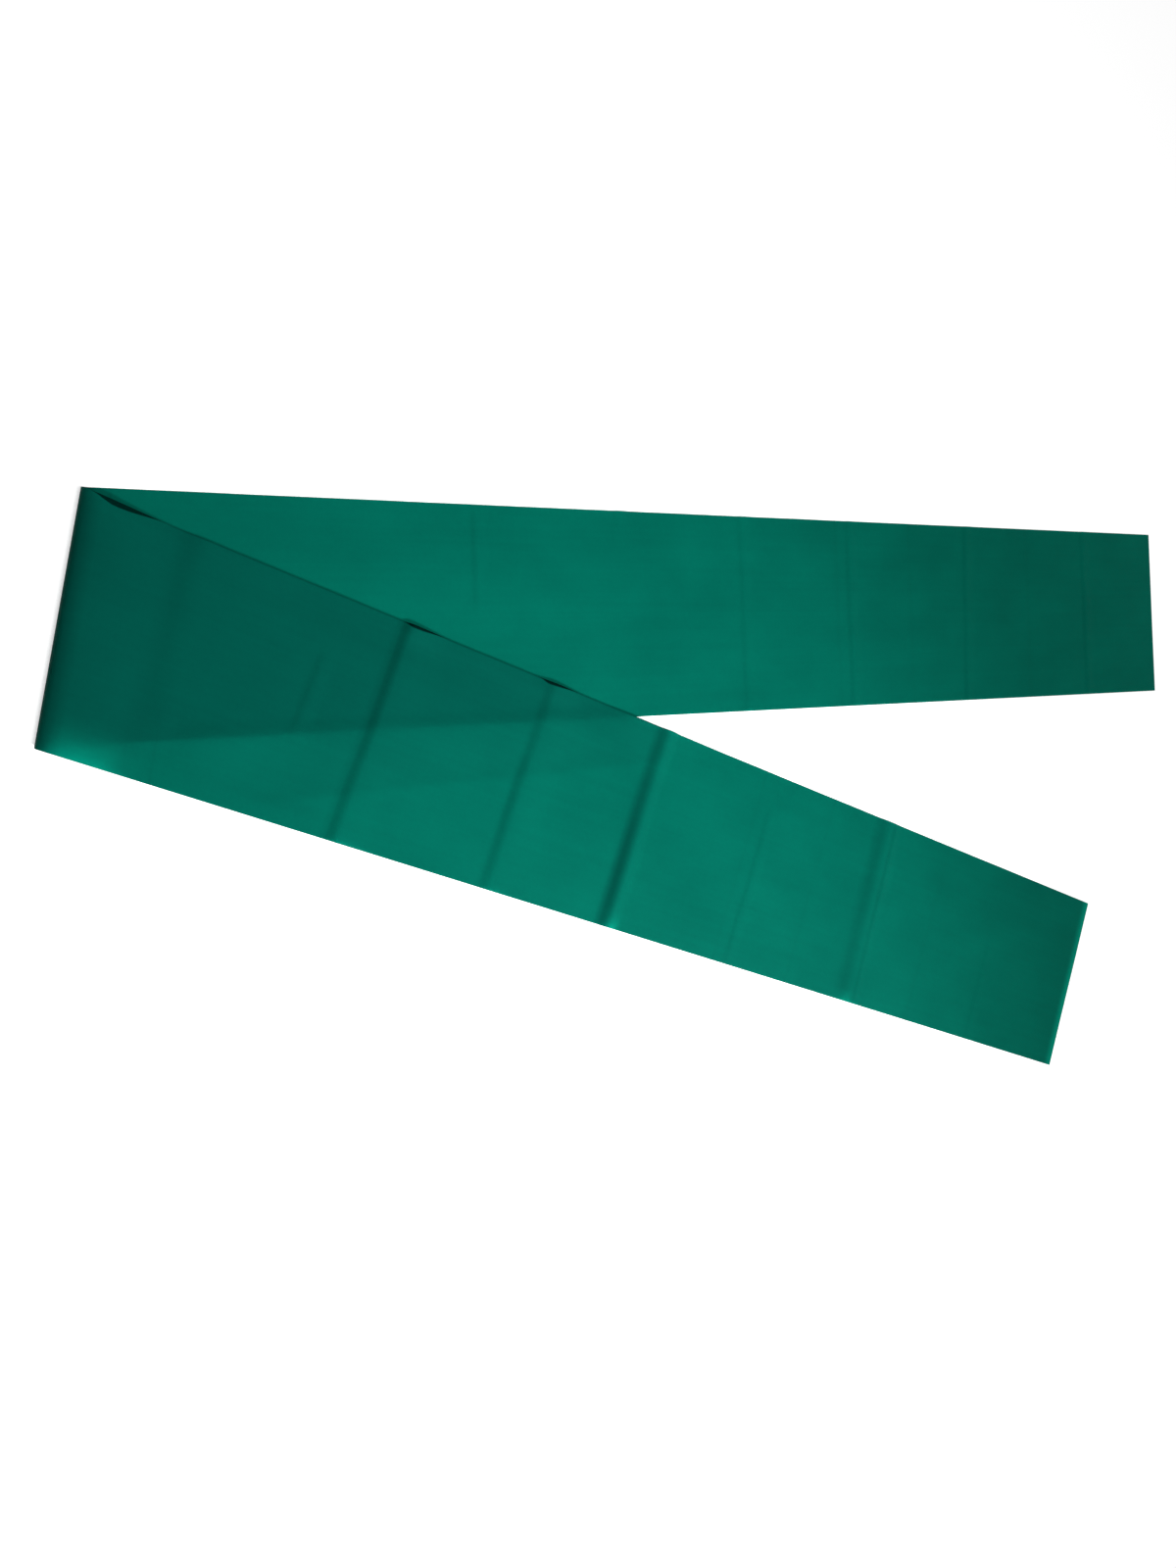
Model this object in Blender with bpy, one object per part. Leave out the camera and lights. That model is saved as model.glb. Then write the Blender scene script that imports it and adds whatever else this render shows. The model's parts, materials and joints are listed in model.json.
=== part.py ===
"""Flat resistance band of latex sheet, folded over once and laid out as a shallow V.

The band is one strip. Its under leg lies on the ground, runs into a soft bend (the fold loop), and
comes back as the top leg, which crosses over the under leg and comes down to the ground beyond it.
Each leg is split into segments at the places where the strip stretches and where it creases, so that
the band can open, stretch and curl. Units are metres, +Z is up, and the origin is at the middle of
the band's footprint, on the ground.
"""

from math import cos, pi, radians, sin, sqrt, tan

import bmesh
import bpy

# Driving dimensions
BAND_WIDTH = 0.150
THICKNESS = 0.0004
UNDER_LENGTH = 0.932  # fold to cut end, along the leg
TOP_LENGTH = 0.868
LEG_ANGLE = radians(11.33)  # each leg's angle from the line that halves the V
CUT_GAP = 0.0003  # clearance between neighbouring segments
LAYER_GAP = 0.0003  # clearance between the two layers where they lie together

# Where each leg is divided, measured from the fold along the leg
STRETCH_CUT = 0.200
OVERLAP_END = 0.386  # the top leg has left the under leg here
UNDER_CREASES = (0.570, 0.695, 0.841)
TOP_CREASES = (0.505, 0.617, 0.762)

# The soft bend at the fold
LOOP_RADIUS = 0.0040  # of the strip's middle surface
LOOP_RUNOUT = 0.055  # over this the top layer comes down onto the under layer
LOOP_STEPS = 20
RUNOUT_STEPS = 16

LATEX_GREEN = (0.002, 0.127, 0.090, 1.0)
LATEX_ROUGHNESS = 0.42

HALF_WIDTH = BAND_WIDTH / 2
TOP_LAYER_Z = THICKNESS + LAYER_GAP  # underside of the top layer on the under layer


def remove_old_objects():
    for old in list(bpy.data.objects):
        bpy.data.objects.remove(old, do_unlink=True)


def latex(name):
    """The sheet's material: coloured latex with a satin face."""
    material = bpy.data.materials.new(name)
    material.use_nodes = True
    shader = material.node_tree.nodes["Principled BSDF"]
    shader.inputs["Base Color"].default_value = LATEX_GREEN
    shader.inputs["Roughness"].default_value = LATEX_ROUGHNESS
    shader.inputs["Metallic"].default_value = 0.0
    return material


def body_from_rings(name, rings):
    """One closed body lofted through rings of four corners each, capped at both ends."""
    mesh = bpy.data.meshes.new(name)
    shape = bmesh.new()
    loops = [[shape.verts.new(corner) for corner in ring] for ring in rings]
    for near, far in zip(loops, loops[1:]):
        for i in range(4):
            j = (i + 1) % 4
            shape.faces.new((near[i], near[j], far[j], far[i]))
    shape.faces.new(reversed(loops[0]))
    shape.faces.new(loops[-1])
    bmesh.ops.recalc_face_normals(shape, faces=shape.faces)
    shape.to_mesh(mesh)
    shape.free()
    mesh.materials.append(latex(name + "_latex"))
    body = bpy.data.objects.new(name, mesh)
    bpy.context.collection.objects.link(body)
    return body


def empty(name, parent, location):
    """An empty that marks a reference point or a joint's axis."""
    marker = bpy.data.objects.new(name, None)
    marker.empty_display_size = 0.02
    bpy.context.collection.objects.link(marker)
    marker.parent = parent
    marker.location = location
    return marker


def place(body, parent, location, turn=0.0):
    body.parent = parent
    body.location = location
    body.rotation_euler.z = turn


def strip_ring(right_x, left_x, under_z):
    """The strip's section: x where it crosses the right and left edges, and its underside's height."""
    upper_z = under_z + THICKNESS
    return (
        (right_x, -HALF_WIDTH, under_z),
        (left_x, HALF_WIDTH, under_z),
        (left_x, HALF_WIDTH, upper_z),
        (right_x, -HALF_WIDTH, upper_z),
    )


def square_panel(name, length):
    """A crease panel: its origin is on the crease, at the level of the strip's upper face."""
    start = CUT_GAP / 2
    end = length - CUT_GAP / 2
    return body_from_rings(name, [strip_ring(x, x, -THICKNESS) for x in (start, end)])


def end_panel(name, length):
    """The last panel, up to the strip's square-cut end."""
    return body_from_rings(
        name, [strip_ring(x, x, -THICKNESS) for x in (CUT_GAP / 2, length)]
    )


def inner_segment(name, fold_cut, slope, length):
    """The segment next to the fold. Its inner end is cut along the fold, slope being the leg's turn."""
    skew = HALF_WIDTH * tan(slope)
    start = fold_cut / cos(slope)
    return body_from_rings(
        name,
        [
            strip_ring(start - skew, start + skew, 0.0),
            strip_ring(length - CUT_GAP / 2, length - CUT_GAP / 2, 0.0),
        ],
    )


def plain_segment(name, start, end, drop=0.0):
    """A plain stretch of the strip between two places along the leg, the far end lower by drop."""
    near = start + CUT_GAP / 2
    far = end - CUT_GAP / 2
    return body_from_rings(name, [strip_ring(near, near, 0.0), strip_ring(far, far, -drop)])


def loop_profile():
    """The fold's side view, as (x, z, normal x, normal z, distance along the strip) from the fold line.

    A half circle takes the strip back over itself, and a half wave lets it down onto the lower layer.
    """
    points = []
    ground = THICKNESS / 2
    for i in range(LOOP_STEPS + 1):
        turned = pi * i / LOOP_STEPS
        points.append(
            (
                -LOOP_RADIUS * sin(turned),
                ground + LOOP_RADIUS * (1 - cos(turned)),
                -sin(turned),
                -cos(turned),
                LOOP_RADIUS * turned,
            )
        )
    landing = TOP_LAYER_Z + THICKNESS / 2
    half_drop = (points[-1][1] - landing) / 2
    x, z, _, _, run = points[-1]
    for i in range(1, RUNOUT_STEPS + 1):
        phase = pi * i / RUNOUT_STEPS
        next_x = LOOP_RUNOUT * i / RUNOUT_STEPS
        next_z = landing + half_drop * (1 + cos(phase))
        run += sqrt((next_x - x) ** 2 + (next_z - z) ** 2)
        x, z = next_x, next_z
        fall = half_drop * sin(phase) * pi / LOOP_RUNOUT
        size = sqrt(1 + fall * fall)
        points.append((x, z, fall / size, 1 / size, run))
    return points


def fold_loop(name, profile):
    """The soft bend, whose edges drift sideways along the strip because the legs leave it at an angle."""
    half = HALF_WIDTH / cos(LEG_ANGLE)
    lean = tan(LEG_ANGLE)
    rings = []
    for x, z, normal_x, normal_z, run in profile:
        offset_x = normal_x * THICKNESS / 2
        offset_z = normal_z * THICKNESS / 2
        middle_y = -run * lean
        rings.append(
            (
                (x - offset_x, middle_y - half, z - offset_z),
                (x - offset_x, middle_y + half, z - offset_z),
                (x + offset_x, middle_y + half, z + offset_z),
                (x + offset_x, middle_y - half, z + offset_z),
            )
        )
    body = body_from_rings(name, rings)
    body.data.shade_smooth()
    body.data.set_sharp_from_angle(angle=radians(40))
    return body


def crease_chain(leg, parent, creases, length, drop):
    """The panels beyond a leg's middle segment, each carried by the one before it."""
    names = [f"{leg}_leg_panel_1", f"{leg}_leg_panel_2", f"{leg}_leg_end"]
    stops = list(creases[1:]) + [length]
    previous = STRETCH_CUT
    height = drop
    for name, crease, stop in zip(names, creases, stops):
        if stop == length:
            panel = end_panel(name, stop - crease)
        else:
            panel = square_panel(name, stop - crease)
        place(panel, parent, (crease - previous, 0.0, height))
        parent = panel
        previous = crease
        height = 0.0


def build():
    remove_old_objects()
    profile = loop_profile()
    loop_travel = profile[-1][4] - profile[-1][0]  # strip used by the bend beyond its plain run
    fold_axis_x = -loop_travel / 2
    fold_axis_z = (TOP_LAYER_Z + THICKNESS) / 2
    top_shift = -loop_travel * tan(LEG_ANGLE)

    low_x = -LOOP_RADIUS - THICKNESS / 2
    high_x = UNDER_LENGTH * cos(LEG_ANGLE) + HALF_WIDTH * sin(LEG_ANGLE)
    high_y = UNDER_LENGTH * sin(LEG_ANGLE) + HALF_WIDTH * cos(LEG_ANGLE)
    low_y = top_shift - TOP_LENGTH * sin(LEG_ANGLE) - HALF_WIDTH * cos(LEG_ANGLE)
    fold_corner = empty(
        "fold_line", None, (-(low_x + high_x) / 2, -(low_y + high_y) / 2, 0.0)
    )

    under_inner = inner_segment("under_leg_inner", CUT_GAP, LEG_ANGLE, STRETCH_CUT)
    place(under_inner, fold_corner, (0.0, 0.0, 0.0), LEG_ANGLE)
    place(fold_loop("fold_loop", profile), fold_corner, (0.0, 0.0, 0.0))

    under_middle = plain_segment("under_leg_middle", 0.0, UNDER_CREASES[0] - STRETCH_CUT)
    place(under_middle, under_inner, (STRETCH_CUT, 0.0, 0.0))
    crease_chain("under", under_middle, UNDER_CREASES, UNDER_LENGTH, THICKNESS)

    fold_axis = empty("fold_axis", fold_corner, (fold_axis_x, 0.0, fold_axis_z))
    top_inner = inner_segment(
        "top_leg_inner", LOOP_RUNOUT + CUT_GAP, -LEG_ANGLE, STRETCH_CUT
    )
    place(
        top_inner,
        fold_axis,
        (-fold_axis_x, top_shift, TOP_LAYER_Z - fold_axis_z),
        -LEG_ANGLE,
    )
    top_middle = plain_segment("top_leg_middle", 0.0, OVERLAP_END - STRETCH_CUT)
    place(top_middle, top_inner, (STRETCH_CUT, 0.0, 0.0))
    step_down = plain_segment(
        "top_leg_step_down", 0.0, TOP_CREASES[0] - OVERLAP_END, TOP_LAYER_Z
    )
    place(step_down, top_middle, (OVERLAP_END - STRETCH_CUT, 0.0, 0.0))
    crease_chain("top", top_middle, TOP_CREASES, TOP_LENGTH, THICKNESS - TOP_LAYER_Z)


build()
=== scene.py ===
"""A folded latex resistance band, built as one continuous strip of sheet around the CAD frame.

surface() describes the whole strip. It is cut into ten closed pieces that meet row on row.
"""

import json
import math
from collections import namedtuple

import bpy
import numpy as np
from mathutils import Euler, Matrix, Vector


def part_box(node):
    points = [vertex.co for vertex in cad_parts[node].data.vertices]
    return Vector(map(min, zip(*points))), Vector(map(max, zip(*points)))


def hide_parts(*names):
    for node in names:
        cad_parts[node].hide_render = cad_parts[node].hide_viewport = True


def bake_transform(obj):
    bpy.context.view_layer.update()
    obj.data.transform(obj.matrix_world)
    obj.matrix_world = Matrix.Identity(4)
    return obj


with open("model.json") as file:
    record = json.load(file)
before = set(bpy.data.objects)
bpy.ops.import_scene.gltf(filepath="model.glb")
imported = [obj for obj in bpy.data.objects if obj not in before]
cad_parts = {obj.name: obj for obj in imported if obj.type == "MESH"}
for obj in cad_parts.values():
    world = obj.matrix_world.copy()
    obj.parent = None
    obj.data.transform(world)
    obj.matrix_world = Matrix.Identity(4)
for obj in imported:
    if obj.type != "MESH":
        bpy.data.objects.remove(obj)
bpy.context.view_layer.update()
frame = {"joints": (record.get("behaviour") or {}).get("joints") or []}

# ---------------------------------------------------------------- sizes, from the frame

WIDTH = 0.150
# The gaps that the CAD leaves between neighbouring nodes, and between the two layers.
CUT_GAP = 0.0003
LAYER_GAP = 0.0003
LATEX = "latex"

joints = {joint["name"]: joint for joint in frame["joints"]}


def node_box(name):
    low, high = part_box(name)
    return np.array(low), np.array(high)


under_way = -np.array(joints["under_leg_stretch"]["axis"])
top_way = -np.array(joints["top_leg_stretch"]["axis"])
ANGLE = math.atan2(under_way[1], under_way[0])
COS, SIN, TAN = math.cos(ANGLE), math.sin(ANGLE), math.tan(ANGLE)

end_low, end_high = node_box("under_leg_end")
loop_low, loop_high = node_box("fold_loop")
THICKNESS = end_high[2] - end_low[2]
RADIUS = (loop_high[2] - loop_low[2] - THICKNESS) / 2
HALF_TURN = math.pi * RADIUS
FOLD_X = node_box("under_leg_inner")[0][0] - CUT_GAP
FOLD_Y = loop_high[1] - WIDTH / 2 / COS
FOLD = np.array((FOLD_X, FOLD_Y, 0))
# The slope over which the top leg comes down from the bend, and the strip used up by both.
RUN_OUT = loop_high[0] - FOLD_X
BEND = 2 * (FOLD_X - joints["fold"]["pos_m"][0])
DROP_LENGTH = BEND - HALF_TURN
TOP_OFFSET = -BEND * TAN


def distance_along(point, way, offset=0.0):
    """How far a point lies from the fold line, along a leg."""
    return float((point[0] - FOLD[0]) * way[0] + (point[1] - FOLD[1] - offset) * way[1])


def crease_places(leg, way, offset=0.0):
    """How far a leg's three hinges lie from the fold line."""
    hinges = (joints[f"{leg}_leg_crease_{i}"]["pos_m"] for i in (1, 2, 3))
    return [distance_along(hinge, way, offset) for hinge in hinges]


def leg_length(end_node):
    return (node_box(end_node)[1][0] - FOLD_X - WIDTH / 2 * SIN) / COS


under_creases = crease_places("under", under_way)
top_creases = crease_places("top", top_way, TOP_OFFSET)
UNDER_LENGTH = leg_length("under_leg_end")
TOP_LENGTH = leg_length("top_leg_end")

# ---------------------------------------------------------------- curves
#
# s is the distance from the fold along a leg and t the distance from the strip's middle line.
# x and y are measured from the middle of the fold line, with x across it.


def smooth(value):
    value = np.clip(value, 0.0, 1.0)
    return value * value * (3 - 2 * value)


def after(value, start, length):
    """0 up to a place, then a smooth rise to 1 over a length."""
    return smooth((value - start) / length)


def until(value, start, length):
    """1 up to a place, then a smooth fall to 0 over a length."""
    return 1 - after(value, start, length)


def bump(distance, rise, fall):
    """A rounded hump that rises over one length and falls over another."""
    inside = np.clip(np.where(distance < 0, -distance / rise, distance / fall), 0, 1)
    return 0.5 + 0.5 * np.cos(np.pi * inside)


WINDOW_SOFT = 0.022


def window(t, start, end):
    """1 between two places across the strip, with soft ends."""
    return smooth((t - start) / WINDOW_SOFT + 0.5) * smooth((end - t) / WINDOW_SOFT + 0.5)


# ---------------------------------------------------------------- storage creases

# Place along the leg, slant, height, lengths of the near and the far slope, how much shade is
# painted along it, then where it starts and ends across the strip. By default it crosses it all.
Ridge = namedtuple("Ridge", "place slant height near far dark start end", defaults=(-0.2, 0.2))

TOP_RIDGES = [
    Ridge(0.0592, -0.091, 0.0009, 0.014, 0.016, 0.06),
    Ridge(0.1447, 0.00, 0.0005, 0.006, 0.010, 0.05, -0.015, 0.035),
    Ridge(0.1920, 0.00, 0.0019, 0.009, 0.030, 0.16),
    Ridge(0.3015, 0.00, 0.0016, 0.009, 0.026, 0.11),
    Ridge(0.3980, 0.00, 0.0024, 0.011, 0.010, 0.34),
    Ridge(top_creases[0], 0.00, 0.0005, 0.005, 0.008, 0.04, -0.070, 0.045),
    Ridge(top_creases[1] + 0.006, -0.030, 0.0016, 0.014, 0.013, 0.14),
    Ridge(top_creases[1] + 0.014, -0.030, 0.0006, 0.005, 0.008, 0.08),
    Ridge(top_creases[2], 0.00, 0.0003, 0.005, 0.008, 0.02, -0.075, 0.010),
]
UNDER_RIDGES = [
    Ridge(0.2517, 0.00, 0.0006, 0.005, 0.008, 0.05, 0.005, 0.070),
    Ridge(0.3612, 0.00, 0.0010, 0.006, 0.010, 0.00, 0.060, 0.200),
    Ridge(0.4670, 0.00, 0.0006, 0.005, 0.009, 0.04),
    Ridge(under_creases[0], 0.00, 0.0007, 0.005, 0.009, 0.05),
    Ridge(under_creases[1], 0.03, 0.0007, 0.005, 0.009, 0.06),
    Ridge(under_creases[2], 0.00, 0.0006, 0.005, 0.009, 0.05),
]

# How a crease wavers on its way across the strip: by how much, its wave number, and how much the
# wave is shifted per metre from crease to crease.
Waver = namedtuple("Waver", "size wave shift")
PLACE_WAVER = Waver(0.0005, 61, 40)
HEIGHT_WAVER = Waver(0.1, 47, 90)
DARK_WAVER = Waver(0.2, 39, 70)

# The painted shade lies on the near slope, as a dark line beside the real ridge. Both are shares of
# that slope's length.
DARK_BACK = 0.55
DARK_REACH = 0.75


def waver(kind, t, place):
    return kind.size * np.sin(t * kind.wave + place * kind.shift)


def ridges(s, t, listed):
    """The height of a leg's creases."""
    height = np.zeros_like(s)
    for ridge in listed:
        distance = s - ridge.place - ridge.slant * t - waver(PLACE_WAVER, t, ridge.place)
        share = 1 - HEIGHT_WAVER.size + waver(HEIGHT_WAVER, t, ridge.place)
        hump = bump(distance, ridge.near, ridge.far) * window(t, ridge.start, ridge.end)
        height += ridge.height * share * hump
    return height


def crease_painted_shade(s, t, listed):
    """Painted shade along the creases: 1 away from them, less on each one's near slope."""
    tone = np.ones_like(s)
    for ridge in listed:
        distance = s - ridge.place - ridge.slant * t + DARK_BACK * ridge.near
        reach = DARK_REACH * ridge.near
        share = ridge.dark * (1 - DARK_WAVER.size + waver(DARK_WAVER, t, ridge.place))
        tone *= 1 - share * bump(distance, reach, reach) * window(t, ridge.start, ridge.end)
    return tone


# ---------------------------------------------------------------- heights

UNDULATION = 0.0004
# Strength, wave number along and across the strip, and how far a leg's seed shifts the wave.
UNDULATION_WAVES = ((1.0, 71, 23, 1.0), (0.8, 113, -31, 2.3), (0.6, 37, 64, 4.1))
UNDER_SEED, TOP_SEED = 0.7, 2.9

# The lengths over which the relief sets in, away from the bend.
UNDER_RELIEF_LENGTH = 0.05
TOP_RELIEF_START, TOP_RELIEF_LENGTH = 0.8 * RUN_OUT, 0.04

# The step down off the under leg: its reach, and how fast the under leg's own relief fades there.
STEP = THICKNESS + LAYER_GAP
FOOT = 0.037
RELIEF_FADE = 0.006

# The latex bridges that step: height, how far in it begins, and the length past the slope at the
# bend over which it sets in. The last number brings the peak of r (1 - r)^2 to 1.
BRIDGE, BRIDGE_IN, BRIDGE_LENGTH = 0.0009, 0.008, 0.03
BRIDGE_PEAK = 27 / 4

# The top leg's inner edge stands off the under leg, most of all beside two of its creases.
EDGE_LIFT = 0.0007
LIFT_ACROSS, LIFT_ALONG = (0.058, 0.017), (0.35, 0.08)
LENSES = (0.1920, 0.2955)
LENS_RISE, LENS_FALL, LENS_LIFT = 0.010, 0.028, 1.8


def lens(s):
    """Where the top leg's inner edge bulges up."""
    return sum(bump(s - place, LENS_RISE, LENS_FALL) for place in LENSES)


def undulation(s, t, seed):
    """Slow waves of the surface, never below 0."""
    peak = sum(size for size, *_ in UNDULATION_WAVES)
    waves = sum(size * np.sin(s * along + t * across + seed * shift)
                for size, along, across, shift in UNDULATION_WAVES)
    return UNDULATION * (waves + peak) / (2 * peak)


def under_height(s, t):
    """The under leg's middle surface over the ground."""
    relief = undulation(s, t, UNDER_SEED) + ridges(s, t, UNDER_RIDGES)
    return THICKNESS / 2 + after(s, 0, UNDER_RELIEF_LENGTH) * relief


def top_height(s, t, x, y):
    """The top leg's middle surface: over the under leg where it lies on it, then down from it."""
    along, across = x * COS + y * SIN, -x * SIN + y * COS
    past = -WIDTH / 2 - across
    over = under_height(along, np.clip(across, -WIDTH / 2, WIDTH / 2)) + STEP
    ground = THICKNESS / 2 + STEP * (1 - np.clip(past / FOOT, 0, 1)) ** 2
    fading = (over - THICKNESS / 2 - STEP) * np.exp(-np.clip(past, 0, 1) / RELIEF_FADE)
    base = np.where(past < 0, over, ground + fading)

    share = np.clip((past + BRIDGE_IN) / (FOOT + BRIDGE_IN), 0, 1)
    bridge = BRIDGE * BRIDGE_PEAK * share * (1 - share) ** 2
    base = base + bridge * after(x, RUN_OUT, BRIDGE_LENGTH)

    lift = EDGE_LIFT * after(t, *LIFT_ACROSS) * until(s, *LIFT_ALONG) * (1 + LENS_LIFT * lens(s))
    relief = undulation(s, t, TOP_SEED) + ridges(s, t, TOP_RIDGES) + lift
    base = base + after(x, TOP_RELIEF_START, TOP_RELIEF_LENGTH) * relief

    # On the slope at the bend it rises from there to the bend's own height.
    rise = THICKNESS / 2 + 2 * RADIUS - base
    return base + rise * (1 + np.cos(np.pi * np.clip(x / RUN_OUT, 0, 1))) / 2


# ---------------------------------------------------------------- tones

EDGE = 0.0010

# The painted shade's tone at the bend's very edge, then what it gains from there: how much, from
# where, over what.
BEND_TONE = 0.52
BEND_GAINS = ((0.36, -RADIUS, 0.013), (0.05, 0.0, 0.05), (0.07, 0.0, 0.25))

# Painted shade: the under leg is a little darker towards the fold, by how much, and over what
# length.
UNDER_DARK, UNDER_DARK_LENGTH = 0.08, 0.25

# Painted light, as lighter spots at the top leg's outer edge: gain, place along the leg, rise,
# fall, and how far from the middle line it starts and over what length it grows.
Glow = namedtuple("Glow", "gain place rise fall start length")
GLOWS = (
    Glow(0.25, 0.400, 0.007, 0.010, 0.064, 0.010),
    Glow(0.25, top_creases[1] + 0.004, 0.014, 0.010, 0.064, 0.010),
    Glow(0.30, 0.030, 0.026, 0.050, 0.050, 0.022),
)
# Painted light along the cut end: gain, where it starts and over what length.
CUT_GLOW, CUT_GLOW_START, CUT_GLOW_LENGTH = 0.45, TOP_LENGTH - 0.009, 0.008

# Painted shade along the top leg's inner edge: depth, extra depth at the lenses, where it starts
# and ends.
EDGE_DARK, LENS_DARK = 0.42, 0.45
EDGE_DARK_FROM, EDGE_DARK_TO = (0.02, 0.02), (0.385, 0.01)

# The painted shade beside the under leg: depth, where it starts and ends along the leg, where it
# sets in past the under leg's edge, and its outer line (reach at one place, narrowing, softness).
SIDE_DARK = 0.075
SIDE_FROM, SIDE_TO = (0.11, 0.06), (0.385, 0.02)
SIDE_SET_IN = (-0.002, 0.004)
SIDE_REACH, SIDE_PLACE, SIDE_NARROWING, SIDE_SOFT = 0.040, 0.19, 0.030, 0.006

# Painted shadow in a band along the top leg's inner edge, where it stands off the under leg: the
# wedge at the fold, then the size at the lenses.
WEDGE_SIZE, WEDGE_PLACE, WEDGE_RISE, WEDGE_FALL = 0.0036, 0.015, 0.016, 0.034
LENS_GAP_SHADOW = 0.0024


def fold_painted_shade(x):
    """Painted shade: darkest at the bend, lighter over the top leg away from it."""
    return BEND_TONE + sum(gain * after(x, start, length) for gain, start, length in BEND_GAINS)


def painted_edge_light(s, t):
    """Painted light: lighter at the outer edge by the lifted ends of two high creases and near the
    fold, and along the cut end.
    """
    spots = sum(glow.gain * bump(s - glow.place, glow.rise, glow.fall)
                * after(-t, glow.start, glow.length) for glow in GLOWS)
    return 1 + spots + CUT_GLOW * after(s, CUT_GLOW_START, CUT_GLOW_LENGTH)


def inner_edge_painted_shade(s, t):
    """Painted shade along the top leg's inner edge, where it stands a little off the under leg."""
    depth = (EDGE_DARK + LENS_DARK * lens(s)) * after(s, *EDGE_DARK_FROM) * until(s, *EDGE_DARK_TO)
    return 1 - depth * after(t, WIDTH / 2 - EDGE, EDGE)


def side_painted_shade(s, past):
    """Painted shade, a little darker where the top leg has not settled on the ground beside the
    under leg.
    """
    line = SIDE_REACH - SIDE_NARROWING * (s - SIDE_PLACE)
    inside = after(past, *SIDE_SET_IN) * until(past, line - SIDE_SOFT / 2, SIDE_SOFT)
    return 1 - SIDE_DARK * inside * after(s, *SIDE_FROM) * until(s, *SIDE_TO)


def gap_shadow_size(s, x):
    """Width of the band of painted shadow at the top leg's inner edge, where the edge is off the
    under leg.
    """
    return WEDGE_SIZE * bump(x - WEDGE_PLACE, WEDGE_RISE, WEDGE_FALL) + LENS_GAP_SHADOW * lens(s)


# ---------------------------------------------------------------- the strip's surface

SKEW_START, SKEW_LENGTH = 0.065, 0.085


def skew(s):
    """1 where rows run along the fold, 0 where they run square across the strip."""
    return until(s, SKEW_START, SKEW_LENGTH)


def lost_to_drop(x):
    """How much of the strip's length the top leg's slope down from the bend has used."""
    share = np.clip(x / RUN_OUT, 0, 1)
    return DROP_LENGTH * (share - np.sin(2 * np.pi * share) / (2 * np.pi))


def surface(q, t):
    """A row of the strip's middle surface, its painted light and shade, and the width of its
    painted edge shadow.

    q runs from the under leg (below 0), round the bend (to HALF_TURN) and along the top leg.
    """
    no_gap_shadow = np.zeros_like(t)
    if q < 0:
        s = -q + skew(-q) * t * TAN
        x, y = s * COS - t * SIN, s * SIN + t * COS
        # Painted shade along the under leg's creases.
        painted_light_and_shade = crease_painted_shade(s, t, UNDER_RIDGES)
        # Painted shade, a little darker towards the fold.
        painted_light_and_shade = painted_light_and_shade * (1 - UNDER_DARK * until(s, 0, UNDER_DARK_LENGTH))
        return x, y, under_height(s, t), painted_light_and_shade, no_gap_shadow
    if q <= HALF_TURN:
        turn = q / RADIUS
        x = np.full_like(t, -RADIUS * math.sin(turn))
        y = t / COS - q * TAN
        z = np.full_like(t, THICKNESS / 2 + RADIUS * (1 - math.cos(turn)))
        # Painted shade on the bend.
        return x, y, z, fold_painted_shade(x), no_gap_shadow
    s = (q - HALF_TURN) - skew(q - HALF_TURN) * t * TAN
    x = s * COS + t * SIN
    y = -s * SIN + t * COS - (HALF_TURN + lost_to_drop(x)) * TAN
    past = x * SIN - y * COS - WIDTH / 2
    # Painted shade at the creases, beside the under leg, at the bend and along the inner edge, and
    # painted light at the outer edge and the cut end.
    painted_light_and_shade = crease_painted_shade(s, t, TOP_RIDGES) * side_painted_shade(s, past) * fold_painted_shade(x)
    painted_light_and_shade = painted_light_and_shade * inner_edge_painted_shade(s, t) * painted_edge_light(s, t)
    return x, y, top_height(s, t, x, y), painted_light_and_shade, gap_shadow_size(s, x)


# ---------------------------------------------------------------- rows and columns

BEND_ROWS = 15
COARSE_ROW, FINE_ROW, FINE_REACH = 0.0045, 0.0011, 0.012
MIDDLE_COLUMNS = 51
FOLD_LEAD = 0.012
FOLD_SEAM = 0.060
CUT_BEFORE_CREASE = 0.014


def rows_between(start, end, fine_at):
    """Places along the strip, close together near each ridge and cut end."""
    places, at = [start], start
    while at < end:
        near = min(abs(at - place) for place in fine_at)
        at += FINE_ROW if near < FINE_REACH else COARSE_ROW
        places.append(at)
    places = np.array(places)
    return start + (places - start) * (end - start) / (places[-1] - start)


def leg_cuts(creases):
    """The leg's pieces meet a little before its first crease, and halfway between the others."""
    first, second, third = creases
    return [first - CUT_BEFORE_CREASE, (first + second) / 2, (second + third) / 2]


under_cuts = leg_cuts(under_creases)
top_cuts = leg_cuts(top_creases)

# Which piece each stretch of the strip belongs to, and where it ends.
stretches = [
    ("under_leg_end_sheet", -under_cuts[2]),
    ("under_leg_panel_2_sheet", -under_cuts[1]),
    ("under_leg_panel_1_sheet", -under_cuts[0]),
    ("under_leg_sheet", -FOLD_LEAD),
    ("fold_lower_sheet", 0.0),
    ("fold_lower_sheet", HALF_TURN / 2),
    ("fold_upper_sheet", HALF_TURN),
    ("fold_upper_sheet", HALF_TURN + FOLD_SEAM),
    ("top_leg_sheet", HALF_TURN + top_cuts[0]),
    ("top_leg_panel_1_sheet", HALF_TURN + top_cuts[1]),
    ("top_leg_panel_2_sheet", HALF_TURN + top_cuts[2]),
    ("top_leg_end_sheet", HALF_TURN + TOP_LENGTH),
]
fine_places = [-ridge.place for ridge in UNDER_RIDGES]
fine_places += [HALF_TURN + ridge.place for ridge in TOP_RIDGES]
fine_places += [-UNDER_LENGTH, HALF_TURN + TOP_LENGTH]

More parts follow.
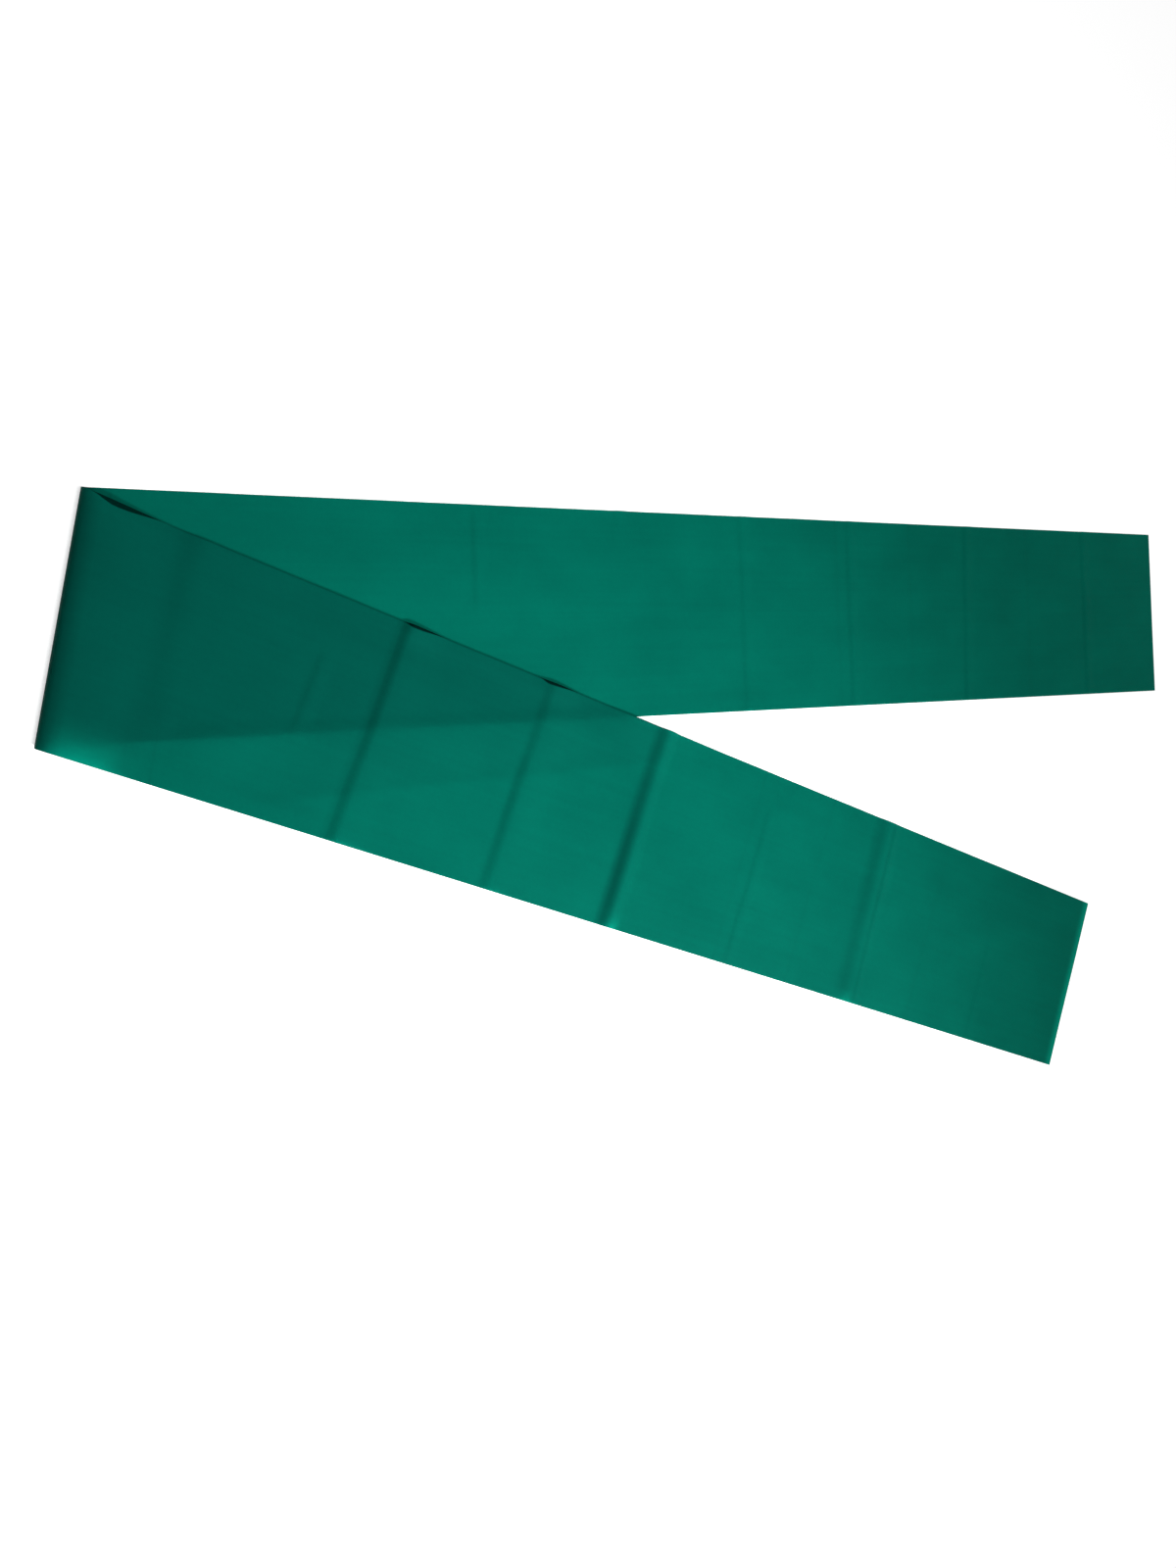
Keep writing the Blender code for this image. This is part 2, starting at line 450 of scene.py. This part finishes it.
q_rows, spans, low = [-UNDER_LENGTH], {}, -UNDER_LENGTH
for name, high in stretches:
    in_bend = low >= 0 and high <= HALF_TURN
    part = np.linspace(low, high, BEND_ROWS) if in_bend else rows_between(low, high, fine_places)
    first = spans[name][0] if name in spans else len(q_rows) - 1
    q_rows += list(part[1:])
    spans[name] = (first, len(q_rows) - 1)
    low = high

edge_columns = [WIDTH / 2 - EDGE, WIDTH / 2]
inner_columns = np.linspace(-WIDTH / 2 + 3 * EDGE, WIDTH / 2 - 3 * EDGE, MIDDLE_COLUMNS)
t_columns = np.array([-c for c in reversed(edge_columns)] + list(inner_columns) + edge_columns)
COLUMNS = len(t_columns)

points = np.array([np.stack(surface(q, t_columns), axis=1) for q in q_rows])
middle = points[:, :, :3] + FOLD
# Painted light and shade for each point.
painted_light_and_shade = points[:, :, 3]
# How far each point is inside the band of painted shadow at the top leg's inner edge, below 0
# outside it.
gap_shadow = points[:, :, 4] - (WIDTH / 2 - t_columns)
normals = np.cross(np.gradient(middle, axis=0), np.gradient(middle, t_columns, axis=1))
normals /= np.linalg.norm(normals, axis=2, keepdims=True)
# Distances along the strip, for the surface pattern and the flat sizes.
lengths = np.linalg.norm(np.diff(middle, axis=0), axis=2)
run = np.concatenate([np.zeros((1, COLUMNS)), np.cumsum(lengths, axis=0)])

NOT_IN_GAP_SHADOW = -1.0


def strip_faces(rows):
    """Faces of a closed strip of so many rows, and the edges where its rim turns off its sides."""
    half = rows * COLUMNS

    def outer(i, j):
        return i * COLUMNS + j

    def inner(i, j):
        return half + i * COLUMNS + j

    faces = []
    for i in range(rows - 1):
        for j in range(COLUMNS - 1):
            faces.append((outer(i, j), outer(i + 1, j), outer(i + 1, j + 1), outer(i, j + 1)))
            faces.append((inner(i, j), inner(i, j + 1), inner(i + 1, j + 1), inner(i + 1, j)))
    border = [(i, 0) for i in range(rows)]
    border += [(rows - 1, j) for j in range(1, COLUMNS)]
    border += [(i, COLUMNS - 1) for i in range(rows - 2, -1, -1)]
    border += [(0, j) for j in range(COLUMNS - 2, 0, -1)]
    rims = set()
    for a, b in zip(border, border[1:] + border[:1]):
        faces.append((outer(*a), inner(*a), inner(*b), outer(*b)))
        rims.add(frozenset((outer(*a), outer(*b))))
        rims.add(frozenset((inner(*a), inner(*b))))
    return faces, rims


def strip_piece(name, first, last):
    """A closed mesh of the strip between two rows, with its rims."""
    part = slice(first, last + 1)
    m, half_wall = middle[part], normals[part] * THICKNESS / 2
    rows = len(m)
    vertices = np.concatenate([(m + half_wall).reshape(-1, 3), (m - half_wall).reshape(-1, 3)])
    faces, rims = strip_faces(rows)
    mesh = bpy.data.meshes.new(name)
    mesh.from_pydata(vertices.tolist(), [], faces)
    mesh.update()
    mesh.polygons.foreach_set("use_smooth", np.ones(len(faces), bool))
    edge_sharp = [frozenset(edge.vertices) in rims for edge in mesh.edges]
    sharp = mesh.attributes.new("sharp_edge", "BOOLEAN", "EDGE")
    sharp.data.foreach_set("value", edge_sharp)

    uv = mesh.uv_layers.new(name="strip")
    distance = np.concatenate([run[part].ravel()] * 2)
    across = np.concatenate([np.tile(t_columns + WIDTH / 2, rows)] * 2)
    loop_vertices = np.empty(len(mesh.loops), np.int64)
    mesh.loops.foreach_get("vertex_index", loop_vertices)
    pairs = np.stack([distance[loop_vertices], across[loop_vertices]], axis=1)
    uv.data.foreach_set("uv", pairs.ravel().astype(np.float32))

    # Painted light and shade, and the painted edge shadow, ride on the mesh as attributes.
    outer_gap_shadow = gap_shadow[part].ravel()
    for key, outer, inner in (
        ("painted_light_and_shade", painted_light_and_shade[part].ravel(), painted_light_and_shade[part].ravel()),
        ("gap_shadow", outer_gap_shadow, np.full_like(outer_gap_shadow, NOT_IN_GAP_SHADOW)),
    ):
        values = np.concatenate([outer, inner]).astype(np.float32)
        mesh.attributes.new(key, "FLOAT", "POINT").data.foreach_set("value", values)
    obj = bpy.data.objects.new(name, mesh)
    bpy.context.scene.collection.objects.link(obj)
    obj.data.materials.append(latex)
    return obj


# ---------------------------------------------------------------- latex


class Nodes:
    """A short way to add and join shader nodes."""

    def __init__(self, tree):
        self.tree = tree

    def add(self, kind, settings=(), **inputs):
        node = self.tree.nodes.new(kind)
        for key, value in dict(settings).items():
            setattr(node, key, value)
        for key, value in inputs.items():
            self.put(node, key.replace("_", " "), value)
        return node

    def put(self, node, socket, value):
        target = node.inputs[socket]
        if isinstance(value, bpy.types.NodeSocket):
            self.tree.links.new(value, target)
        else:
            target.default_value = value

    def noise(self, vector, scale, detail, roughness):
        node = self.add("ShaderNodeTexNoise", Vector=vector, Scale=scale, Detail=detail,
                        Roughness=roughness)
        return node.outputs["Fac"]

    def ramp(self, value, low, high, to_low, to_high):
        node = self.add("ShaderNodeMapRange", {"clamp": True})
        numbers = {"From Min": low, "From Max": high, "To Min": to_low, "To Max": to_high}
        for socket, number in numbers.items():
            node.inputs[socket].default_value = number
        self.put(node, "Value", value)
        return node.outputs["Result"]

    def swing(self, noise, size, middle=0.0):
        """A noise spread to so much on both sides of a middle value."""
        return self.ramp(noise, NOISE_LOW, NOISE_HIGH, middle - size, middle + size)

    def maths(self, operation, a, b):
        node = self.add("ShaderNodeMath", {"operation": operation})
        self.put(node, 0, a)
        self.put(node, 1, b)
        return node.outputs[0]

    def scaled(self, vector, scale):
        node = self.add("ShaderNodeMapping", Vector=vector)
        node.inputs["Scale"].default_value = scale
        return node.outputs["Vector"]

    def attribute(self, name):
        return self.add("ShaderNodeAttribute", {"attribute_name": name}).outputs["Fac"]

    def tone(self, colour, factor):
        """A colour times a number."""
        node = self.add("ShaderNodeVectorMath", {"operation": "SCALE"})
        node.inputs[0].default_value = colour
        self.put(node, "Scale", factor)
        return node.outputs["Vector"]


NOISE_LOW, NOISE_HIGH = 0.3, 0.7

BASE = (0.0005, 0.0765, 0.0580)
GLOW = (0.005, 0.745, 0.615)
OPAQUE_SHARE = 0.60
SHEEN = 0.05
SHEEN_TINT = (0.05, 0.90, 0.75, 1)
LATEX_IOR = 1.5

# Scales along and across the strip, per metre.
CLOUD_SCALE, STREAK_SCALE = (14, 20, 1), (5, 260, 1)
GRAIN_SCALE, PEBBLE_SCALE = 1500.0, 420.0
CLOUD_TONE, STREAK_TONE, PEBBLE_TONE = 0.05, 0.02, 0.015
ROUGHNESS, CLOUD_ROUGHNESS, GRAIN_ROUGHNESS = 0.45, 0.05, 0.05
GRAIN_RELIEF, PEBBLE_RELIEF = 0.35, 0.65
RELIEF_STRENGTH, RELIEF_DEPTH = 0.12, 0.0004
# The painted shadow at the top leg's inner edge: its darkest tone and how softly it sets in.
GAP_SHADOW_TONE, GAP_SHADOW_SOFT = 0.14, 0.0006


def latex_material():
    material = bpy.data.materials.new(LATEX)
    material.use_nodes = True
    tree = material.node_tree
    tree.nodes.clear()
    n = Nodes(tree)
    strip = n.add("ShaderNodeUVMap", {"uv_map": "strip"}).outputs["UV"]

    clouds = n.noise(n.scaled(strip, CLOUD_SCALE), 1.0, 4.0, 0.55)
    streaks = n.noise(n.scaled(strip, STREAK_SCALE), 1.0, 3.0, 0.6)
    grain = n.noise(strip, GRAIN_SCALE, 2.0, 0.6)
    pebble = n.noise(strip, PEBBLE_SCALE, 3.0, 0.55)

    tone = n.maths("ADD", n.swing(clouds, CLOUD_TONE, 1.0), n.swing(streaks, STREAK_TONE))
    tone = n.maths("ADD", tone, n.swing(pebble, PEBBLE_TONE))
    # Painted light and shade from the mesh.
    tone = n.maths("MULTIPLY", tone, n.attribute("painted_light_and_shade"))
    # Painted shadow along the top leg's inner edge, on its outer side only.
    tone = n.maths("MULTIPLY", tone, n.ramp(n.attribute("gap_shadow"), 0.0, GAP_SHADOW_SOFT, 1.0, GAP_SHADOW_TONE))

    body = n.add("ShaderNodeBsdfPrincipled")
    n.put(body, "Base Color", n.tone(BASE, tone))
    body.inputs["Specular IOR Level"].default_value = SHEEN
    body.inputs["Specular Tint"].default_value = SHEEN_TINT
    body.inputs["IOR"].default_value = LATEX_IOR
    roughness = n.maths("ADD", n.swing(clouds, CLOUD_ROUGHNESS, ROUGHNESS),
                        n.swing(grain, GRAIN_ROUGHNESS))
    n.put(body, "Roughness", roughness)

    relief = n.maths("ADD", n.maths("MULTIPLY", grain, GRAIN_RELIEF),
                     n.maths("MULTIPLY", pebble, PEBBLE_RELIEF))
    bump_node = n.add("ShaderNodeBump", Height=relief)
    bump_node.inputs["Strength"].default_value = RELIEF_STRENGTH
    bump_node.inputs["Distance"].default_value = RELIEF_DEPTH
    n.put(body, "Normal", bump_node.outputs["Normal"])

    glow = n.add("ShaderNodeBsdfTranslucent")
    n.put(glow, "Color", n.tone(GLOW, tone))

    mix = n.add("ShaderNodeMixShader")
    mix.inputs["Fac"].default_value = 1 - OPAQUE_SHARE
    tree.links.new(body.outputs["BSDF"], mix.inputs[1])
    tree.links.new(glow.outputs["BSDF"], mix.inputs[2])
    output = n.add("ShaderNodeOutputMaterial")
    tree.links.new(mix.outputs["Shader"], output.inputs["Surface"])
    return material


latex = latex_material()

# ---------------------------------------------------------------- the ten pieces of the strip

pieces = {}
for name, (first, last) in spans.items():
    piece = strip_piece(name, first, last)
    pieces[name] = (piece, float(run[last, COLUMNS // 2] - run[first, COLUMNS // 2]))


def finish_piece(name, nodes):
    piece, length = pieces[name]
    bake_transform(piece)
    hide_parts(*nodes)


for leg, way, offset, creases in (
    ("under", under_way, 0.0, under_creases),
    ("top", top_way, TOP_OFFSET, top_creases),
):
    bodies = [f"{leg}_leg_{part}" for part in ("middle", "panel_1", "panel_2", "end")]
    for i, crease in enumerate(creases):
        finish_piece(
            f"{bodies[i + 1]}_sheet",
            [bodies[i + 1]],
        )

finish_piece(
    "under_leg_sheet",
    ["under_leg_inner", "under_leg_middle"],
)
finish_piece(
    "top_leg_sheet",
    ["top_leg_inner", "top_leg_middle", "top_leg_step_down"],
)
finish_piece(
    "fold_lower_sheet",
    ["fold_loop"],
)
finish_piece(
    "fold_upper_sheet",
    ["fold_loop"],
)

# ---------------------------------------------------------------- floor, light, camera

FLOOR_HALF = 12.0
FLOOR_COLOUR, FLOOR_ROUGHNESS, FLOOR_GLOW = (0.90, 0.90, 0.90, 1), 0.9, 0.45
WHITE = (1, 1, 1, 1)
STUDIO_LIGHT = 0.45


def floor_material():
    """White paper on a light table, so that no shadow on it is dark."""
    material = bpy.data.materials.new("floor_paper")
    material.use_nodes = True
    shader = material.node_tree.nodes["Principled BSDF"]
    shader.inputs["Base Color"].default_value = FLOOR_COLOUR
    shader.inputs["Roughness"].default_value = FLOOR_ROUGHNESS
    shader.inputs["Specular IOR Level"].default_value = 0.0
    shader.inputs["Emission Color"].default_value = WHITE
    shader.inputs["Emission Strength"].default_value = FLOOR_GLOW
    return material


floor_mesh = bpy.data.meshes.new("floor")
floor_mesh.from_pydata(
    [(-FLOOR_HALF, -FLOOR_HALF, 0), (FLOOR_HALF, -FLOOR_HALF, 0),
     (FLOOR_HALF, FLOOR_HALF, 0), (-FLOOR_HALF, FLOOR_HALF, 0)],
    [], [(0, 1, 2, 3)],
)
floor = bpy.data.objects.new("floor", floor_mesh)
floor_mesh.materials.append(floor_material())
bpy.context.scene.collection.objects.link(floor)

world = bpy.data.worlds.new("studio")
bpy.context.scene.world = world
world.use_nodes = True
background = world.node_tree.nodes["Background"]
background.inputs["Color"].default_value = WHITE
background.inputs["Strength"].default_value = STUDIO_LIGHT


def place_light(data, position, target):
    """Hang a lamp so that it points at a target and can't be seen itself."""
    lamp = bpy.data.objects.new(data.name, data)
    lamp.location = position
    direction = Vector(target) - Vector(position)
    lamp.rotation_euler = direction.to_track_quat("-Z", "Y").to_euler()
    lamp.visible_camera = False
    bpy.context.scene.collection.objects.link(lamp)


KEY_PLACE, KEY_TARGET = (0.85, -1.20, 1.45), (-0.105, -0.155, 0.0)
KEY_POWER, KEY_SIZE, KEY_CONE = 360.0, 0.12, math.radians(26.3)
OVERHEAD_PLACE, OVERHEAD_TARGET = (-0.08, -0.16, 1.25), (-0.08, -0.16, 0.0)
OVERHEAD_POWER, OVERHEAD_SIZE = 6.0, 0.5

key = bpy.data.lights.new("key", "SPOT")
key.energy = KEY_POWER
key.shadow_soft_size = KEY_SIZE
key.spot_size = KEY_CONE
key.spot_blend = 1.0
place_light(key, KEY_PLACE, KEY_TARGET)

overhead = bpy.data.lights.new("overhead", "AREA")
overhead.energy = OVERHEAD_POWER
overhead.shape = "DISK"
overhead.size = OVERHEAD_SIZE
place_light(overhead, OVERHEAD_PLACE, OVERHEAD_TARGET)

# The camera's place from the middle of the fold line, and its turn in degrees.
CAMERA_FROM_FOLD = (-0.01597, -0.06662, 0.76228)
CAMERA_TURN = (0.9745, -29.0174, 8.5570)
CAMERA_SHIFT = -0.05

scene = bpy.context.scene
scene.view_settings.view_transform = "Standard"
camera_data = bpy.data.cameras.new("camera")
camera_data.sensor_width = 36.0
camera_data.lens = 27.0
camera_data.shift_x = CAMERA_SHIFT
camera_data.shift_y = CAMERA_SHIFT
camera_data.clip_start = 0.01
camera_data.clip_end = 100.0
camera = bpy.data.objects.new("camera", camera_data)
camera.location = Vector(FOLD) + Vector(CAMERA_FROM_FOLD)
camera.rotation_euler = Euler([math.radians(a) for a in CAMERA_TURN], "XYZ")
scene.collection.objects.link(camera)
scene.camera = camera
